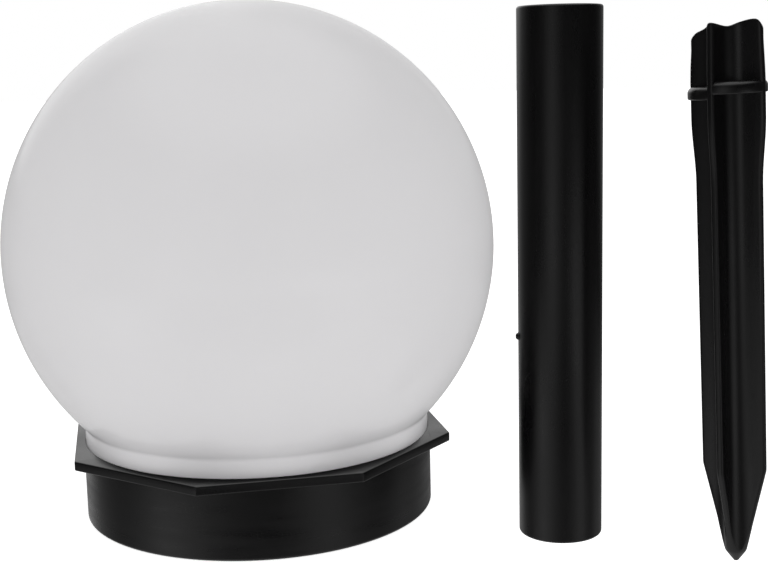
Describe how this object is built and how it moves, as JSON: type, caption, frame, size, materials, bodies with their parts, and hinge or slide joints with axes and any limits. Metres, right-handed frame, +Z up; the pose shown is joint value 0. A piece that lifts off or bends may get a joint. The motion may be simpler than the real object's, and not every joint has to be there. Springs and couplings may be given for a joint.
{
  "type": "garden globe light",
  "caption": "Frosted globe lamp on an octagonal black base, with its plain pole tube and its cross-finned ground stake laid out beside it.",
  "frame": {"origin": "centre of the pole socket's mouth under the lamp, level with the rim that the lamp stands on", "axes": "+Z up along the lamp's axis; +X towards the pole tube and the ground stake"},
  "size_m": [0.2177, 0.15, 0.157],
  "materials": {
    "frosted_globe": "translucent white, satin",
    "black_moulding": "satin moulded",
    "seal_rubber": "matte",
    "white_tray": "smooth",
    "panel_backing": "solder mask",
    "solar_cell": "blue-black silicon",
    "clear_cover": "clear resin",
    "circuit_board": "solder mask",
    "chip": "moulded epoxy",
    "ferrite": "ground",
    "switch_case": "tinned",
    "battery_sleeve": "shrink sleeve",
    "contact_metal": "nickel plated",
    "screw_steel": "zinc plated",
    "led_lens": "clear epoxy",
    "red_wire": "PVC",
    "black_wire": "PVC"
  },
  "bodies": {
    "lamp_base": {"base_housing": "black_moulding", "neck_seal": "seal_rubber", "reflector_tray": "white_tray", "panel_board": "panel_backing", "solar_cells": "solar_cell", "panel_lens": "clear_cover", "led_board": "circuit_board", "led_1": "led_lens", "led_2": "led_lens", "led_3": "led_lens", "led_4": "led_lens", "control_board": "circuit_board", "driver_chip": "chip", "inductor": "ferrite", "switch_body": "switch_case", "bottom_plate": "black_moulding", "battery": "battery_sleeve", "positive_contact": "contact_metal", "negative_contact": "contact_metal", "base_screws": "screw_steel", "tray_screws": "screw_steel", "board_screws": "screw_steel", "panel_lead_red": "red_wire", "led_lead_red": "red_wire", "battery_lead_red": "red_wire", "panel_lead_black": "black_wire", "led_lead_black": "black_wire", "battery_lead_black": "black_wire"},
    "globe": {"globe": "frosted_globe"},
    "switch": {"switch_knob": "black_moulding"},
    "cover": {"battery_cover": "black_moulding", "cover_screw": "screw_steel"},
    "pole": {"pole_tube": "black_moulding"},
    "stake": {"ground_stake": "black_moulding"}
  },
  "joints": [
    {"name": "globe_lift", "type": "slide", "parent": "lamp_base", "child": "globe", "axis": [0, 0, 1], "range_m": [0, 0.08]},
    {"name": "switch_slide", "type": "slide", "parent": "lamp_base", "child": "switch", "axis": [1, 0, 0], "range_m": [0, 0.0025]},
    {"name": "cover_off", "type": "slide", "parent": "lamp_base", "child": "cover", "axis": [0, 0, -1], "range_m": [0, 0.02]},
    {"name": "pole_lift", "type": "slide", "parent": "lamp_base", "child": "pole", "axis": [0, 0, 1], "range_m": [0, 0.16]},
    {"name": "stake_lift", "type": "slide", "parent": "lamp_base", "child": "stake", "axis": [0, 0, 1], "range_m": [0, 0.16]}
  ]
}
